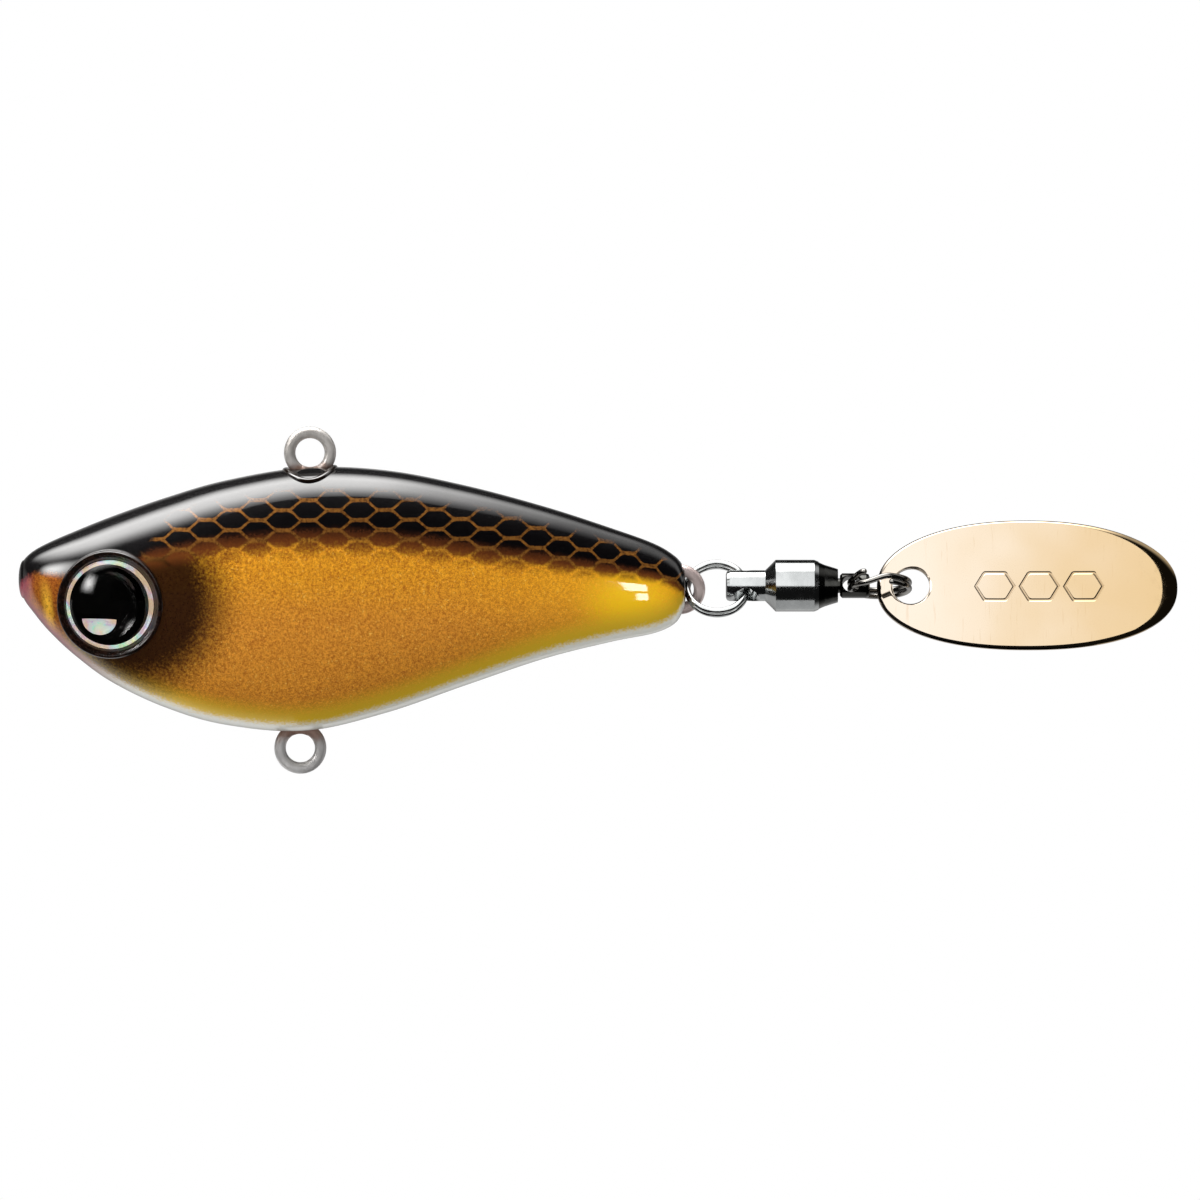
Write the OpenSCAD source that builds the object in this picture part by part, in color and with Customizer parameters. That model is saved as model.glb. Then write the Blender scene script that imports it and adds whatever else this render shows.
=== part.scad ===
// Tail-spinner lure: a two-shell moulded fish body round a cast weight, wire eyes on the back, belly
// and tail, and a blade that turns behind a ball-bearing swivel between two split rings.
// Origin: centre of the line-tie eye on the back. +X towards the blade, +Z up; the lure's left side is -Y.

/* [Body] */
// Length of the moulded body, nose to tail face
body_len = 44.8; // [44:0.1:46]
// Depth of the body, back to belly
body_depth = 17.9; // [17.5:0.1:18.5]
// Greatest width of the body
body_width = 10.4; // [10:0.1:11.5]
// Distance from the line tie forward to the nose
nose_reach = 19.6; // [19.2:0.1:20]
// Distance from the line tie's centre down to the back
back_drop = 1.0; // [1:0.01:1.1]

/* [Wire eyes] */
// Diameter of the eye wire
wire_d = 0.78; // [0.7:0.01:0.8]
// Diameter of the hole that a clip or hook ring goes through
eye_hole_d = 1.97; // [1.9:0.01:2]
// Sideways twist of the tail eye's outer loop, degrees
tail_twist = 14; // [12:1:18]

/* [Fish eyes] */
// Diameter of the stick-on eye
fish_eye_d = 6.0; // [5.6:0.1:6.2]
// Height of the clear dome over its foil
dome_h = 1.1; // [0.8:0.05:1.2]

/* [Split rings] */
// Outside diameter of both split rings
ring_od = 4.38; // [4.3:0.02:4.4]
// Wire diameter of the split rings
ring_wire_d = 0.4; // [0.34:0.01:0.4]

/* [Swivel] */
// Diameter of the barrel
barrel_d = 3.5; // [3.2:0.1:3.8]
// Diameter of the front head
front_head_d = 2.08; // [2:0.02:2.2]
// Diameter of the shaft's rear head
rear_head_d = 1.68; // [1.6:0.02:1.8]
// Number of balls in the race
ball_count = 7; // [5:1:7]

/* [Blade] */
// Length of the blade
blade_len = 20.3; // [18:0.1:22]
// Width of the blade
blade_w = 9.0; // [8:0.1:10]
// Thickness of the blade's sheet
blade_t = 0.5; // [0.3:0.05:0.6]
// Diameter of the blade's ring hole
blade_hole_d = 2.5; // [2.2:0.1:2.6]

/* [Hidden] */
LEFT = -1;
RIGHT = 1;
ROUND = 48;   // segments round a turned surface

// Wire eyes: each is a figure of eight, its outer loop outside the body and its inner loop round a post
wire_r = wire_d / 2;
loop_r = eye_hole_d / 2 + wire_r - 0.005;   // centre line; the hole's edge is coined flat by 0.005
loop_gap = 2.5;                            // between the centres of the two loops
tie_at = [0, 0, 0];
belly_at = [-0.7, 0, -20.0];
tail_x = body_len - nose_reach;            // tail face
chain_z = -9.0;                            // height of the swivel's axis
tail_at = [tail_x - 0.3, 0, chain_z - 0.25];
INWARD_TIE = -90;                          // direction to the inner loop, degrees from +X towards +Z
INWARD_BELLY = 90;
INWARD_TAIL = 180;

// Body outline: [length %, back %, belly %, width %]; the belly line is 0 and the back line 100
outline = [
    [0, 61.5, 56, 6], [0.6, 65, 50.5, 22], [2, 68.3, 45.5, 38], [4.5, 71.7, 38, 54],
    [8.5, 76, 28.7, 71], [14, 81.5, 18.8, 87], [22, 88.5, 9.3, 97], [31, 95, 2.8, 100],
    [43, 99.9, 0.5, 98], [55, 98.9, 7.2, 89], [67, 93.2, 17.6, 76], [79, 85.2, 27.8, 61],
    [89, 77.1, 34.1, 48], [95.5, 71.2, 37.4, 39.5], [98.7, 66.4, 41.2, 33.5], [100, 62.5, 46.5, 26]];
// Weight outline: [x, top, bottom, half width]
weight_outline = [
    [-8.6, -11.4, -13.6, 0.9], [-8, -10.2, -14.8, 1.9], [-5.5, -8.9, -16.2, 3.1],
    [-1.5, -8.4, -16.9, 3.7], [3, -8.7, -16.4, 3.6], [7.5, -9.5, -15.1, 3], [11, -10.5, -13.6, 2.1],
    [12.2, -11.2, -12.8, 1.2]];
// Air chamber above the weight: [x, top, bottom, half width]
air_outline = [
    [-6, -6.1, -6.9, 0.8], [-5.2, -5.6, -7.3, 1.6], [-1, -5.1, -7.3, 2.6], [5, -5.0, -7.4, 2.7],
    [11, -5.6, -8.3, 2.2], [15.2, -6.6, -9, 1.4], [16, -7.2, -8.5, 0.8]];
STEPS = 3;         // rings between two stations
ARC = 14;          // facets round half a section
SQUARENESS = 2.3;  // 2 is an ellipse; more is flatter in the flank
fit_gap = 0.05;    // round the weight, the wires and the posts

// Fish eyes
eye_r = fish_eye_d / 2;
eye_x = -13.3;
eye_z = -9.9;
eye_seat_y = 4.15;   // floor of the socket from the seam
eye_toe = 11;        // the eyes look this many degrees ahead of sideways
foil_t = 0.25;
pupil_r = eye_r - 0.32;
pupil_t = 0.1;
socket_gap = 0.04;
rim_r = eye_r + 0.5;
rim_h = foil_t + 0.25;

// Split rings
ring_r = ring_wire_d / 2;
ring_mid_r = ring_od / 2 - ring_r;
coil_gap = 0.01;     // between the two turns
front_ring_at = [tail_at[0] + 2.55, 0, chain_z - 0.2];
front_ring_tilt = 40;   // the coil's axis leans up from -Y by this
rear_ring_at = [38.42, 0, chain_z];
rear_ring_tilt = 110;   // past upright, so its near side is the higher one
end_lift = 0.35;        // the sprung end of the rear ring's wire
coil_step = ring_r + coil_gap / 2;
// Angles along the wire, in degrees round both turns
CROSS_FROM = 335;
CROSS_TO = 385;
SPRING_FROM = 652;
WIRE_END = 692;
RUN_LAP = 2;            // how far a climbing run reaches into a flat one

// Swivel, all on the axis y = 0, z = chain_z
head_x = front_ring_at[0] + 0.6;
front_hole_x = front_ring_at[0] + 1.93;
front_hole_r = 0.77;
cone_x = head_x + 2.65;
barrel_x = cone_x + 0.7;
seam_x = barrel_x + 2.9;
cap_x = seam_x + 1.3;
barrel_r = barrel_d / 2;
bore_r = 1.15;
neck_r = 0.5;
ball_r = 0.3;
orbit_r = neck_r + ball_r + 0.02;
ball_x = barrel_x + 1.55;
collar_x = ball_x - ball_r - 0.47;
collar_r = 1.1;
washer_x = ball_x + ball_r + 0.02;
washer_t = 0.3;
neck_hole_r = neck_r + 0.04;
rear_head_x = cap_x + 0.14;
rear_head_end = 37.75;
rear_hole_x = 36.5;
rear_hole_r = 0.6;

// Blade
blade_tip_x = 38.25;
blade_lean = 20;      // the near face looks up by this
blade_hole_x = 40.55;
blade_dome_r = 60;
blade_power = 2.2;

// Posts and sockets that pin the shells together: [x, z]; the first three go through the wire eyes
post_r = 0.78;
post_len = 1.2;
post_reach = loop_gap + 0.13;   // middle of the space that the crossing wires leave
posts = [[0, -post_reach], [belly_at[0], belly_at[2] + post_reach],
         [tail_at[0] - post_reach, tail_at[2]], [-17, -9.6], [17.5, -9.6]];

// ---- Lofting ----
function spline(a, b, c, d, t) =
    0.5 * (2 * b + (c - a) * t + (2 * a - 5 * b + 4 * c - d) * t * t + (3 * b - a - 3 * c + d) * t * t * t);
function smooth(table) = [
    for (i = [0 : len(table) - 2], s = [0 : STEPS - 1])
        spline(table[max(i - 1, 0)], table[i], table[i + 1], table[min(i + 2, len(table) - 1)], s / STEPS),
    table[len(table) - 1]];
function bulge(v) = sign(v) * pow(abs(v), 2 / SQUARENESS);
// Half a section, from the bottom seam point to the top one
function half_section(s, side) = [
    for (j = [0 : ARC])
        let (a = -90 + 180 * j / ARC,
             y = j == 0 || j == ARC ? 0 : side * s[3] * bulge(cos(a)),
             z = (s[1] + s[2]) / 2 + (s[1] - s[2]) / 2 * bulge(sin(a)))
        [s[0], y, z]];
function full_section(s) = concat(
    half_section(s, LEFT),
    [for (j = [ARC - 1 : -1 : 1]) half_section(s, RIGHT)[j]]);

module loft(rings, flip = false) {
    n = len(rings[0]);
    last = len(rings) - 1;
    sides = [
        for (i = [0 : last - 1], j = [0 : n - 1])
            let (k = (j + 1) % n, a = i * n + j, b = i * n + k, c = a + n, d = b + n)
            each (flip ? [[a, c, b], [b, c, d]] : [[a, b, c], [b, d, c]])];
    start = [for (j = [0 : n - 1]) flip ? j : n - 1 - j];
    end = [for (j = [0 : n - 1]) last * n + (flip ? n - 1 - j : j)];
    polyhedron([for (r = rings) each r], concat(sides, [start, end]), convexity = 8);
}

body_stations = [
    for (p = outline) [
        p[0] / 100 * body_len - nose_reach,
        (p[1] / 100 - 1) * body_depth - back_drop,
        (p[2] / 100 - 1) * body_depth - back_drop,
        p[3] / 200 * body_width]];

module half_body(side) {
    loft([for (s = smooth(body_stations)) half_section(s, side)], side == RIGHT);
}
// A filled chamber shape, grown by gap all round its section
module chamber(table, gap) {
    loft([for (s = smooth(table)) full_section([s[0], s[1] + gap, s[2] - gap, s[3] + gap])]);
}

// ---- Wire eyes ----
module wire_loop(grow = 0) {
    rotate([90, 0, 0])
        rotate_extrude($fn = 72)
            translate([loop_r, 0]) circle(wire_r + grow, $fn = 24);
}
// Outer loop at the origin, inner loop in the direction given
module figure_eight(inward, twist = 0, outer_grow = 0, inner_grow = 0) {
    rotate([twist, 0, 0]) wire_loop(outer_grow);
    translate(loop_gap * [cos(inward), 0, sin(inward)]) wire_loop(inner_grow);
}
module coined_eye(inward) {
    difference() {
        figure_eight(inward);
        rotate([90, 0, 0]) cylinder(h = 2 * wire_d, r = eye_hole_d / 2, center = true, $fn = ROUND);
    }
}
module wire_grooves() {
    inner_gap = fit_gap + 0.03;   // the inner loop's groove is the deeper one, so the two cross cleanly
    translate(tie_at) figure_eight(INWARD_TIE, 0, fit_gap, inner_gap);
    translate(belly_at) figure_eight(INWARD_BELLY, 0, fit_gap, inner_gap);
    translate(tail_at) figure_eight(INWARD_TAIL, tail_twist, fit_gap, inner_gap);
}

// ---- Fish eyes: outward along the local +Z ----
module at_eye(side) {
    translate([eye_x, side * eye_seat_y, eye_z])
        rotate([0, 0, side * eye_toe])
            rotate([side * -90, 0, 0])
                children();
}
module eye_rim() {
    translate([0, 0, rim_h - 0.3]) cylinder(h = 0.3, r1 = rim_r + 0.15, r2 = rim_r, $fn = ROUND);
    translate([0, 0, -1.6]) cylinder(h = 1.3 + rim_h, r1 = rim_r - 0.9, r2 = rim_r + 0.15, $fn = ROUND);
}
module eye_foil() {
    difference() {
        cylinder(h = foil_t, r = eye_r, $fn = ROUND);
        translate([0, 0, foil_t - pupil_t]) cylinder(h = 1, r = pupil_r + 0.01, $fn = ROUND);
    }
}
module eye_pupil() {
    translate([0, 0, foil_t - pupil_t]) cylinder(h = pupil_t, r = pupil_r, $fn = ROUND);
}
module eye_dome() {
    dome_r = (eye_r * eye_r + dome_h * dome_h) / (2 * dome_h);
    intersection() {
        translate([0, 0, foil_t + dome_h - dome_r]) sphere(r = dome_r, $fn = 96);
        translate([0, 0, foil_t]) cylinder(h = dome_h + 1, r = eye_r, $fn = ROUND);
    }
}

// ---- Shells ----
module shell(side) {
    difference() {
        union() {
            half_body(side);
            at_eye(side) eye_rim();
        }
        chamber(weight_outline, fit_gap);
        chamber(air_outline, 0);
        wire_grooves();
        at_eye(side) cylinder(h = 3, r = eye_r + socket_gap, $fn = ROUND);
        if (side == RIGHT) post_row(post_r + fit_gap, post_len + 0.1);
    }
    if (side == LEFT) post_row(post_r, post_len);
}
module post_row(r, reach) {
    for (p = posts)
        translate([p[0], -0.5, p[1]]) rotate([-90, 0, 0]) cylinder(h = reach + 0.5, r = r, $fn = ROUND);
}
module left_shell() { color("goldenrod") shell(LEFT); }
module right_shell() { color("darkgoldenrod") shell(RIGHT); }
module belly_weight() {
    color("dimgray") difference() {
        chamber(weight_outline, 0);
        translate([belly_at[0], 0, belly_at[2] + loop_gap])
            rotate([90, 0, 0]) cylinder(h = 12, r = loop_r + wire_r + 0.3, center = true, $fn = ROUND);
    }
}
module line_tie() { color("silver") translate(tie_at) coined_eye(INWARD_TIE); }
module belly_hanger() { color("silver") translate(belly_at) coined_eye(INWARD_BELLY); }
module tail_hanger() { color("silver") translate(tail_at) figure_eight(INWARD_TAIL, tail_twist); }
module left_eye_foil() { color("lightblue") at_eye(LEFT) eye_foil(); }
module left_eye_pupil() { color("black") at_eye(LEFT) eye_pupil(); }
module left_eye_dome() { color("white", 0.4) at_eye(LEFT) eye_dome(); }
module right_eye_foil() { color("lightblue") at_eye(RIGHT) eye_foil(); }
module right_eye_pupil() { color("black") at_eye(RIGHT) eye_pupil(); }
module right_eye_dome() { color("white", 0.4) at_eye(RIGHT) eye_dome(); }

// ---- Split rings: two turns side by side, crossing from one to the other at the split ----
function ease(t) = t * t * (3 - 2 * t);
// Height of the wire along the coil's axis at angle a, measured from the middle of the crossing
function coil_h(a, lift) =
    (a < CROSS_FROM ? -coil_step : a > CROSS_TO ? coil_step
        : coil_step * (2 * ease((a - CROSS_FROM) / (CROSS_TO - CROSS_FROM)) - 1))
    + (a > SPRING_FROM ? lift * ease((a - SPRING_FROM) / (WIRE_END - SPRING_FROM)) : 0);
// A flat run of the wire, from one angle to another
module flat_run(from, to, height) {
    rotate([0, 0, from]) translate([0, 0, height])
        rotate_extrude(angle = to - from, $fn = 96) translate([ring_mid_r, 0]) circle(ring_r, $fn = 24);
}
// A run that climbs, its section just inside the flat runs' that it joins
module climbing_run(from, to, lift = 0) {
    count = 12;
    sides = 12;
    r = 0.97 * ring_r;
    loft([
        for (i = [0 : count])
            let (a = from + (to - from) * i / count)
            [for (k = [0 : sides - 1])
                let (w = 360 * k / sides, reach = ring_mid_r + r * cos(w))
                [reach * cos(a), reach * sin(a), coil_h(a, lift) + r * sin(w)]]]);
}
module split_ring(split_at, lift = 0) {
    rotate([0, 0, split_at]) {
        flat_run(720 - WIRE_END, CROSS_FROM, -coil_step);
        climbing_run(CROSS_FROM - RUN_LAP, CROSS_TO + RUN_LAP);
        flat_run(CROSS_TO, lift > 0 ? SPRING_FROM : WIRE_END, coil_step);
        if (lift > 0) climbing_run(SPRING_FROM - RUN_LAP, WIRE_END, lift);
    }
}
// The coil's axis is local +Z, turned to look along -Y and up by tilt
module lay_ring(at, tilt) {
    translate(at) rotate([90 - tilt, 0, 0]) children();
}
module front_split_ring() { color("gainsboro") lay_ring(front_ring_at, front_ring_tilt) split_ring(22); }
module rear_split_ring() { color("gray") lay_ring(rear_ring_at, rear_ring_tilt) split_ring(-95, end_lift); }

// ---- Swivel ----
module on_axis(x = 0) { translate([x, 0, chain_z]) rotate([0, 90, 0]) children(); }
module turned(profile) { on_axis() rotate_extrude($fn = ROUND) polygon(profile); }
// A drilled eye across a head, square to the axis of the ring it holds, its two mouths countersunk
module cross_hole(x, r, ring_tilt, head_r) {
    mouth = 0.22;
    lay_ring([x, 0, chain_z], ring_tilt) rotate([90, 0, 0]) {
        cylinder(h = 4 * head_r, r = r, center = true, $fn = ROUND);
        for (end = [0, 180])
            rotate([end, 0, 0]) translate([0, 0, head_r - mouth])
                cylinder(h = mouth + 0.4, r1 = r, r2 = r + mouth + 0.4, $fn = ROUND);
    }
}
module swivel_body() {
    r = front_head_d / 2;
    color("lightslategray") difference() {
        turned([[0, head_x], [r - 0.25, head_x], [r - 0.07, head_x + 0.07], [r, head_x + 0.25],
                [r, cone_x], [barrel_r, barrel_x], [barrel_r, seam_x - 0.3], [barrel_r - 0.12, seam_x],
                [bore_r, seam_x], [bore_r, collar_x - 0.25], [0, collar_x - 0.25]]);
        cross_hole(front_hole_x, front_hole_r, front_ring_tilt, r);
    }
}
module swivel_cap() {
    plug_x = washer_x + washer_t;
    color("dimgray") turned([
        [neck_hole_r, plug_x], [bore_r, plug_x], [bore_r, seam_x], [barrel_r - 0.16, seam_x],
        [barrel_r - 0.34, seam_x + 0.4], [barrel_r - 0.62, cap_x], [neck_hole_r, cap_x]]);
}
module swivel_washer() {
    color("silver") turned([
        [neck_hole_r, washer_x], [bore_r - 0.02, washer_x],
        [bore_r - 0.02, washer_x + washer_t], [neck_hole_r, washer_x + washer_t]]);
}
module swivel_balls() {
    color("white") on_axis(ball_x)
        for (i = [0 : ball_count - 1])
            rotate([0, 0, 360 / ball_count * i]) translate([orbit_r, 0, 0]) sphere(r = ball_r, $fn = 32);
}
module swivel_shaft() {
    r = rear_head_d / 2;
    color("slategray") difference() {
        turned([[0, collar_x], [collar_r, collar_x], [collar_r, ball_x - ball_r - 0.02],
                [neck_r, ball_x - ball_r - 0.02], [neck_r, rear_head_x], [r - 0.15, rear_head_x],
                [r, rear_head_x + 0.15], [r, rear_head_end - 0.25], [r - 0.07, rear_head_end - 0.07],
                [r - 0.25, rear_head_end], [0, rear_head_end]]);
        cross_hole(rear_hole_x, rear_hole_r, rear_ring_tilt, r);
    }
}

// ---- Blade ----
module blade_outline() {
    half_l = blade_len / 2;
    half_w = blade_w / 2;
    polygon([for (a = [0 : 5 : 355]) [
        half_l * sign(cos(a)) * pow(abs(cos(a)), 2 / blade_power),
        half_w * sign(sin(a)) * pow(abs(sin(a)), 2 / blade_power)]]);
}
module blade() {
    half_l = blade_len / 2;
    color("gold")
        translate([blade_tip_x + half_l, 0, chain_z]) rotate([90 - blade_lean, 0, 0])
            difference() {
                intersection() {
                    translate([0, 0, -3]) linear_extrude(4) blade_outline();
                    translate([0, 0, blade_t / 2 + 0.3 - blade_dome_r]) difference() {
                        sphere(r = blade_dome_r, $fn = 240);
                        sphere(r = blade_dome_r - blade_t, $fn = 240);
                    }
                }
                translate([blade_hole_x - blade_tip_x - half_l, 0, -4])
                    cylinder(h = 8, r = blade_hole_d / 2, $fn = ROUND);
            }
}

left_shell();
right_shell();
belly_weight();
line_tie();
belly_hanger();
tail_hanger();
left_eye_foil();
left_eye_pupil();
left_eye_dome();
right_eye_foil();
right_eye_pupil();
right_eye_dome();
front_split_ring();
swivel_body();
swivel_cap();
swivel_washer();
swivel_balls();
swivel_shaft();
rear_split_ring();
blade();
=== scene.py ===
"""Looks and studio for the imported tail-spinner lure.

Fine body shells, eyes, rings and blade replace or dress the pieces of the CAD frame.
"""

from math import cos, hypot, pi, radians, sin, sqrt

import bpy
import numpy as np
from mathutils import Matrix, Vector


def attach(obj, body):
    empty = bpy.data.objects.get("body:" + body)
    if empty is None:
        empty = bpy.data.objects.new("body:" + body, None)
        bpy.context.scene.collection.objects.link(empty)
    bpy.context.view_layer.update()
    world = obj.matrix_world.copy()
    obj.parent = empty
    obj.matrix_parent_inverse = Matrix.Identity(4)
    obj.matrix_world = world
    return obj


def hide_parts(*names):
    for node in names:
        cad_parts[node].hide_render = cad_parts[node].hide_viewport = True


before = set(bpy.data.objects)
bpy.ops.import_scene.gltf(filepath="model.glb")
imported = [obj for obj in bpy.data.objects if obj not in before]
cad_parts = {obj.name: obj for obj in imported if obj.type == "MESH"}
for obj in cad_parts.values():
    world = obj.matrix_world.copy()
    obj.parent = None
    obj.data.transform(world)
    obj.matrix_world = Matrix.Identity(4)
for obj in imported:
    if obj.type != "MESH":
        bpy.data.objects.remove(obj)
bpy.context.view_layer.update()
MM = 0.001

# ---------------------------------------------------------------- node helpers


class Graph:
    """Adds nodes to one tree; numbers, tuples and sockets can all be given as inputs."""

    def __init__(self, tree):
        self.tree = tree

    def node(self, kind, **settings):
        made = self.tree.nodes.new(kind)
        for name, value in settings.items():
            setattr(made, name, value)
        return made

    def put(self, socket, value):
        if isinstance(value, bpy.types.NodeSocket):
            self.tree.links.new(value, socket)
        elif isinstance(value, tuple) and socket.type == "RGBA" and len(value) == 3:
            socket.default_value = (*value, 1)
        else:
            socket.default_value = value

    def math(self, operation, *values):
        made = self.node("ShaderNodeMath", operation=operation)
        for socket, value in zip(made.inputs, values):
            self.put(socket, value)
        return made.outputs[0]

    def add(self, a, b):
        return self.math("ADD", a, b)

    def sub(self, a, b):
        return self.math("SUBTRACT", a, b)

    def mul(self, a, b):
        return self.math("MULTIPLY", a, b)

    def least(self, a, b):
        return self.math("MINIMUM", a, b)

    def most(self, a, b):
        return self.math("MAXIMUM", a, b)

    def size(self, a):
        return self.math("ABSOLUTE", a)

    def ramp(self, value, lo, hi, at_lo=0.0, at_hi=1.0):
        """Smooth change from at_lo to at_hi as value goes from lo to hi."""
        made = self.node("ShaderNodeMapRange", interpolation_type="SMOOTHSTEP")
        for name, given in zip(
            ("Value", "From Min", "From Max", "To Min", "To Max"),
            (value, lo, hi, at_lo, at_hi),
        ):
            self.put(made.inputs[name], given)
        return made.outputs[0]

    def bell(self, value, centre, reach):
        """1 where value is centre, falling smoothly to 0 at reach from it."""
        return self.ramp(self.size(self.sub(value, centre)), 0.0, reach, 1.0, 0.0)

    def mix(self, factor, a, b):
        made = self.node("ShaderNodeMix", data_type="RGBA")
        for index, value in ((0, factor), (6, a), (7, b)):
            self.put(made.inputs[index], value)
        return made.outputs[2]

    def noise(self, scale, detail=2.0, rough=0.5, stretch=None):
        """Noise between 0 and 1, with a scale in waves per metre of the object."""
        place = self.node("ShaderNodeTexCoord").outputs["Object"]
        if stretch:
            mapping = self.node("ShaderNodeMapping")
            self.put(mapping.inputs["Vector"], place)
            mapping.inputs["Scale"].default_value = stretch
            place = mapping.outputs[0]
        made = self.node("ShaderNodeTexNoise")
        self.put(made.inputs["Vector"], place)
        made.inputs["Scale"].default_value = scale
        made.inputs["Detail"].default_value = detail
        made.inputs["Roughness"].default_value = rough
        return made.outputs["Fac"]

    def xyz(self):
        """The object's own x, y and z in millimetres."""
        place = self.node("ShaderNodeTexCoord").outputs["Object"]
        parts = self.node("ShaderNodeSeparateXYZ")
        self.put(parts.inputs[0], place)
        return [self.mul(out, 1000.0) for out in parts.outputs]

    def uv(self, name):
        parts = self.node("ShaderNodeSeparateXYZ")
        self.put(parts.inputs[0], self.node("ShaderNodeUVMap", uv_map=name).outputs[0])
        return parts.outputs[0], parts.outputs[1]

    def bump(self, height, strength, distance):
        made = self.node("ShaderNodeBump")
        made.inputs["Strength"].default_value = strength
        made.inputs["Distance"].default_value = distance
        self.put(made.inputs["Height"], height)
        return made.outputs[0]


def linear(r, g, b):
    """A colour written in 0 to 255 display values, in linear light."""
    return tuple(
        c / 3294.6 if c <= 10.31 else ((c / 255 + 0.055) / 1.055) ** 2.4
        for c in (r, g, b)
    )


def material(name):
    """A new material: its graph and its principled shader."""
    made = bpy.data.materials.new(name)
    made.use_nodes = True
    return made, Graph(made.node_tree), made.node_tree.nodes["Principled BSDF"]


def metal(name, dark, light, rough, grain=1200.0, stretch=None, wear=0.12, bumps=0.02):
    """Bare or plated metal: cloudy tone, fine scratches and dull patches."""
    made, g, shader = material(name)
    cloud = g.noise(380.0, 3.0, 0.6)
    scratch = g.noise(grain * 4, 2.0, 0.6, stretch=stretch or (1, 1, 0.12))
    tone = g.ramp(g.add(cloud, g.mul(g.sub(scratch, 0.5), 0.3)), 0.25, 0.75)
    g.put(shader.inputs["Base Color"], g.mix(tone, dark, light))
    shader.inputs["Metallic"].default_value = 1.0
    patch = g.ramp(g.noise(900.0, 4.0, 0.7), 0.45, 0.75, rough, rough + wear)
    g.put(shader.inputs["Roughness"], patch)
    g.put(shader.inputs["Normal"], g.bump(scratch, bumps, 0.00002))
    return made, g, shader


# ---------------------------------------------------------------- mesh helpers


def make(name, points, faces, paint, body, slot, nodes, uvs=None, sharp=None):
    """A mesh piece from points in millimetres, riding on a CAD body in place of CAD nodes."""
    mesh = bpy.data.meshes.new(name)
    mesh.from_pydata([tuple(c * MM for c in p) for p in points], [], faces)
    for label, values in (uvs or {}).items():
        layer = mesh.uv_layers.new(name=label)
        corners = np.zeros(len(mesh.loops), int)
        mesh.loops.foreach_get("vertex_index", corners)
        layer.data.foreach_set("uv", np.array(values, float)[corners].ravel())
    mesh.validate()
    mesh.shade_smooth()
    if sharp:
        mesh.set_sharp_from_angle(angle=radians(sharp))
    mesh.materials.append(paint)
    piece = bpy.data.objects.new(name, mesh)
    bpy.context.scene.collection.objects.link(piece)
    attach(piece, body)
    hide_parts(*nodes)


def skin(rows, columns, loop_columns=True, loop_rows=False):
    """Quads over a grid of points stored row by row."""
    faces = []
    for i in range(rows if loop_rows else rows - 1):
        for j in range(columns if loop_columns else columns - 1):
            a, b = i * columns, (i + 1) % rows * columns
            k = (j + 1) % columns
            faces.append((a + j, a + k, b + k, b + j))
    return faces


def lathe(profile, count=96):
    """Points and faces of a profile [radius, height] turned round local Z; radius 0 closes it."""
    points, rows = [], []
    for radius, height in profile:
        row = len(points)
        if radius == 0:
            points.append((0, 0, height))
            rows.append((row, 1))
            continue
        for j in range(count):
            a = 2 * pi * j / count
            points.append((radius * cos(a), radius * sin(a), height))
        rows.append((row, count))
    faces = []
    for (a, na), (b, nb) in zip(rows, rows[1:]):
        for j in range(count):
            k = (j + 1) % count
            quad = [a + j % na, a + k % na, b + k % nb, b + j % nb]
            faces.append(tuple(dict.fromkeys(quad)))
    return points, faces


def placed(points, matrix):
    return [tuple(matrix @ Vector(p)) for p in points]


def mirrored(points, faces):
    """The same shape on the other side of the body."""
    return [(x, -y, z) for x, y, z in points], [tuple(reversed(f)) for f in faces]


def tube(path, radius, sides, centre, ends=4):
    """A round wire along a coil's path, its section square to the way out from centre."""
    rings = []
    count = len(path)
    scales = []  # [radius, shift] of the rings that round off an end
    for i in range(ends):
        a = pi / 2 * i / ends
        scales.append((sin(a), -cos(a)))
    for i in range(count):
        before, after = path[max(i - 1, 0)], path[min(i + 1, count - 1)]
        along = (after - before).normalized()
        out = (path[i] - centre).normalized()
        side = along.cross(out).normalized()
        out = side.cross(along).normalized()
        caps = []
        if i == 0:
            caps = [(s, shift) for s, shift in scales]
        for s, shift in caps:
            rings.append((path[i] + along * shift * radius, out, side, max(s, 0.02)))
        rings.append((path[i], out, side, 1.0))
        if i == count - 1:
            for s, shift in reversed(scales):
                rings.append(
                    (path[i] - along * shift * radius, out, side, max(s, 0.02))
                )
    points = []
    for at, out, side, scale in rings:
        for k in range(sides):
            a = 2 * pi * k / sides
            points.append(
                tuple(at + (out * cos(a) + side * sin(a)) * radius * scale)
            )
    faces = skin(len(rings), sides)
    last = (len(rings) - 1) * sides
    faces.append(tuple(range(sides - 1, -1, -1)))
    faces.append(tuple(range(last, last + sides)))
    return points, faces


# ---------------------------------------------------------------- body shape (mm)

BODY_LEN, BODY_DEPTH, BODY_WIDTH, NOSE_REACH, BACK_DROP = 44.8, 17.9, 10.4, 19.6, 1.0
# [length %, back %, belly %, width %]
OUTLINE = [
    [0, 61.5, 56, 6], [0.6, 65, 50.5, 22], [2, 68.3, 45.5, 38], [4.5, 71.7, 38, 54],
    [8.5, 76, 28.7, 71], [14, 81.5, 18.8, 87], [22, 88.5, 9.3, 97], [31, 95, 2.8, 100],
    [43, 99.9, 0.5, 98], [55, 98.9, 7.2, 89], [67, 93.2, 17.6, 76], [79, 85.2, 27.8, 61],
    [89, 77.1, 34.1, 48], [95.5, 71.2, 37.4, 39.5], [98.7, 66.4, 41.2, 33.5],
    [100, 62.5, 46.5, 26],
]  # fmt: skip
SQUARENESS = 2.3  # 2 is an ellipse; more is flatter in the flank
RINGS_EACH, SECTION = 14, 84  # rings between two stations, and facets down one side
NOSE_ROUND, TAIL_ROUND = 0.35, 0.14  # how far the rounded ends stand out
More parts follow.
